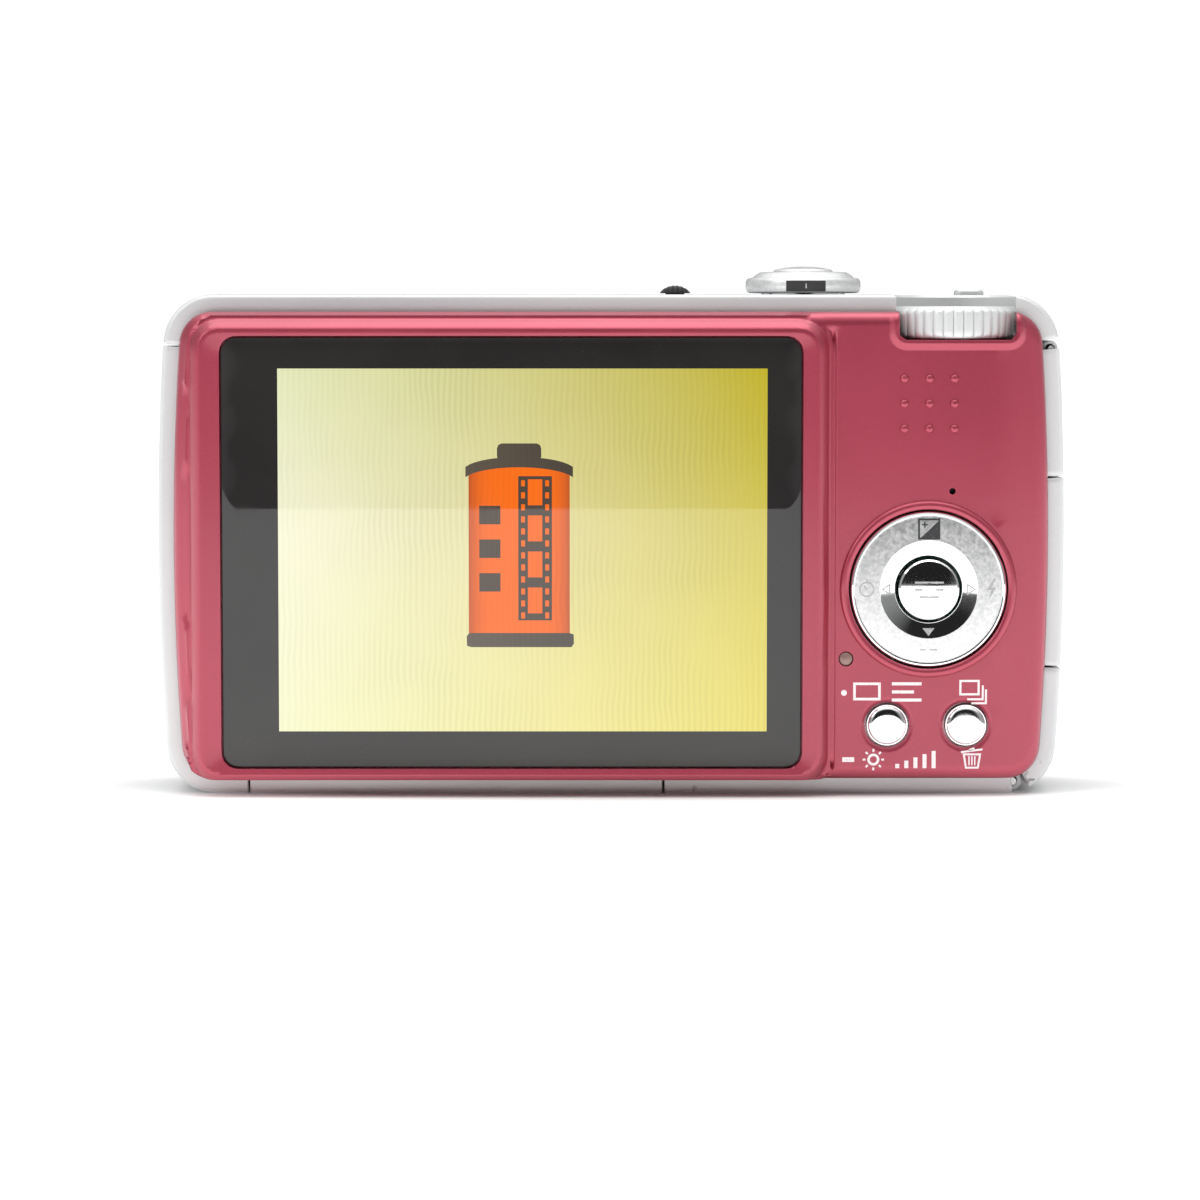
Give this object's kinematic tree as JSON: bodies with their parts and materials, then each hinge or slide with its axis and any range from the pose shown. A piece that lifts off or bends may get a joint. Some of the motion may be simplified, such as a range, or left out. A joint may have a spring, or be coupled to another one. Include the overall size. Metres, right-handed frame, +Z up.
{
  "type": "compact digital camera",
  "caption": "Slim pocket camera with a large rear screen, four-way pad, mode dial, zoom ring, telescoping lens and hinged battery and terminal doors.",
  "frame": {"origin": "middle of the base of the bounding box, lens retracted and doors closed", "axes": "+X to the viewer's right, +Y from the screen towards the lens, +Z up"},
  "size_m": [0.0952, 0.0242, 0.0554],
  "materials": {
    "red_paint": "satin metallic rose-red paint on thin aluminium",
    "silver_paint": "satin silver paint",
    "silver_metal": "turned and satin-finished",
    "chrome_plate": "polished plating on plastic",
    "screen_window": "clear acrylic with a black printed border over a lit display",
    "display_module": "display module in a steel and plastic frame",
    "black_plastic": "moulded, fine grain",
    "lens_glass": "coated optical glass",
    "sensor": "sensor under its cover glass",
    "clear_plastic": "clear ribbed plastic",
    "lamp_lens": "tinted clear plastic",
    "steel": "plated steel",
    "circuit_board": "green solder mask",
    "wrapped_cell": "printed plastic wrap without lettering"
  },
  "bodies": {
    "case": {"rear_cover": "red_paint", "front_cover": "red_paint", "top_cover": "silver_paint", "left_band": "silver_paint", "bottom_plate": "silver_paint", "right_corner_cover": "silver_paint", "strap_plate": "silver_paint", "lens_ring": "silver_metal", "lcd_window": "screen_window", "lcd_panel": "display_module", "lcd_backlight": "display_module", "lens_housing": "black_plastic", "battery_bay": "black_plastic", "terminal_socket": "black_plastic", "speaker": "black_plastic", "image_sensor": "sensor", "flash_window": "clear_plastic", "flash_tube": "clear_plastic", "status_lamp": "lamp_lens", "assist_lamp": "lamp_lens", "strap_bar": "steel", "screw_bottom_1": "steel", "screw_bottom_2": "steel", "screw_left_1": "steel", "screw_left_2": "steel", "screw_right_1": "steel", "screw_right_2": "steel", "zoom_motor": "steel", "flash_reflector": "steel", "battery_door_pin": "steel", "terminal_door_pin": "steel", "chassis": "steel", "microphone": "steel", "tripod_socket": "steel", "main_board": "circuit_board", "switch_board": "circuit_board", "top_board": "circuit_board", "battery": "wrapped_cell", "memory_card": "wrapped_cell", "flash_capacitor": "wrapped_cell"},
    "zoom_ring": {"zoom_ring": "silver_metal"},
    "shutter": {"shutter_button": "silver_metal"},
    "dial": {"mode_dial": "silver_paint"},
    "slider": {"power_slider": "black_plastic"},
    "steady_key": {"stabiliser_button": "silver_paint"},
    "pad_carrier": {"pad_carrier": "black_plastic"},
    "pad": {"cursor_pad": "silver_metal"},
    "set_key": {"set_button": "chrome_plate"},
    "display_key": {"display_button": "chrome_plate"},
    "burst_key": {"burst_button": "chrome_plate"},
    "terminal_door": {"terminal_door": "silver_paint"},
    "battery_door": {"battery_door": "silver_paint"},
    "lever": {"release_lever": "black_plastic"},
    "outer_barrel": {"barrel_outer": "black_plastic"},
    "middle_barrel": {"barrel_middle": "silver_metal"},
    "inner_barrel": {"barrel_inner": "silver_metal", "front_lens": "lens_glass"},
    "upper_blade": {"barrier_blade_upper": "black_plastic"},
    "lower_blade": {"barrier_blade_lower": "black_plastic"}
  },
  "joints": [
    {"name": "shutter_press", "type": "slide", "parent": "case", "child": "shutter", "axis": [0, 0, -1], "range_m": [0, 0.001], "stiffness_N_per_m": 300},
    {"name": "zoom_turn", "type": "hinge", "parent": "case", "child": "zoom_ring", "pos_m": [0.0204, -0.0009, 0.052], "axis": [0, 0, 1], "range_deg": [-25, 25], "stiffness_Nm_per_rad": 0.01},
    {"name": "dial_turn", "type": "hinge", "parent": "case", "child": "dial", "pos_m": [0.036, -0.0044, 0.05], "axis": [0, 0, 1], "continuous": true},
    {"name": "power_slide", "type": "slide", "parent": "case", "child": "slider", "axis": [1, 0, 0], "range_m": [-0.003, 0]},
    {"name": "stabiliser_press", "type": "slide", "parent": "case", "child": "steady_key", "axis": [0, 0, -1], "range_m": [0, 0.0005], "stiffness_N_per_m": 600},
    {"name": "pad_tilt_up_down", "type": "hinge", "parent": "case", "child": "pad_carrier", "pos_m": [0.03305, -0.01, 0.02175], "axis": [1, 0, 0], "range_deg": [-2.5, 2.5], "stiffness_Nm_per_rad": 0.02},
    {"name": "pad_tilt_sideways", "type": "hinge", "parent": "pad_carrier", "child": "pad", "pos_m": [0.03305, -0.01, 0.02175], "axis": [0, 0, 1], "range_deg": [-2.5, 2.5], "stiffness_Nm_per_rad": 0.02},
    {"name": "set_press", "type": "slide", "parent": "case", "child": "set_key", "axis": [0, 1, 0], "range_m": [0, 0.0004], "stiffness_N_per_m": 600},
    {"name": "display_press", "type": "slide", "parent": "case", "child": "display_key", "axis": [0, 1, 0], "range_m": [0, 0.0004], "stiffness_N_per_m": 600},
    {"name": "burst_press", "type": "slide", "parent": "case", "child": "burst_key", "axis": [0, 1, 0], "range_m": [0, 0.0004], "stiffness_N_per_m": 600},
    {"name": "terminal_door_open", "type": "hinge", "parent": "case", "child": "terminal_door", "pos_m": [0.046, -0.0009, 0.04675], "axis": [0, -1, 0], "range_deg": [0, 90]},
    {"name": "battery_door_open", "type": "hinge", "parent": "case", "child": "battery_door", "pos_m": [0.0423, -0.0009, 0.00125], "axis": [0, -1, 0], "range_deg": [0, 90]},
    {"name": "lever_slide", "type": "slide", "parent": "battery_door", "child": "lever", "axis": [1, 0, 0], "range_m": [0, 0.0024]},
    {"name": "lens_extend", "type": "slide", "parent": "case", "child": "outer_barrel", "axis": [0, 1, 0], "range_m": [0, 0.009]},
    {"name": "middle_extend", "type": "slide", "parent": "outer_barrel", "child": "middle_barrel", "axis": [0, 1, 0], "range_m": [0, 0.0085]},
    {"name": "inner_extend", "type": "slide", "parent": "middle_barrel", "child": "inner_barrel", "axis": [0, 1, 0], "range_m": [0, 0.0075]},
    {"name": "upper_blade_turn", "type": "hinge", "parent": "inner_barrel", "child": "upper_blade", "pos_m": [-0.0244, 0.0108, 0.0262], "axis": [0, -1, 0], "range_deg": [0, 35]},
    {"name": "lower_blade_turn", "type": "hinge", "parent": "inner_barrel", "child": "lower_blade", "pos_m": [-0.0096, 0.0108, 0.0262], "axis": [0, -1, 0], "range_deg": [0, 35]}
  ],
  "couplings": [
    {"joint": "middle_extend", "follows": "lens_extend", "ratio": 0.94},
    {"joint": "inner_extend", "follows": "lens_extend", "ratio": 0.83},
    {"joint": "upper_blade_turn", "follows": "lens_extend", "rad_per_m": 67.806},
    {"joint": "lower_blade_turn", "follows": "lens_extend", "rad_per_m": 67.806}
  ]
}
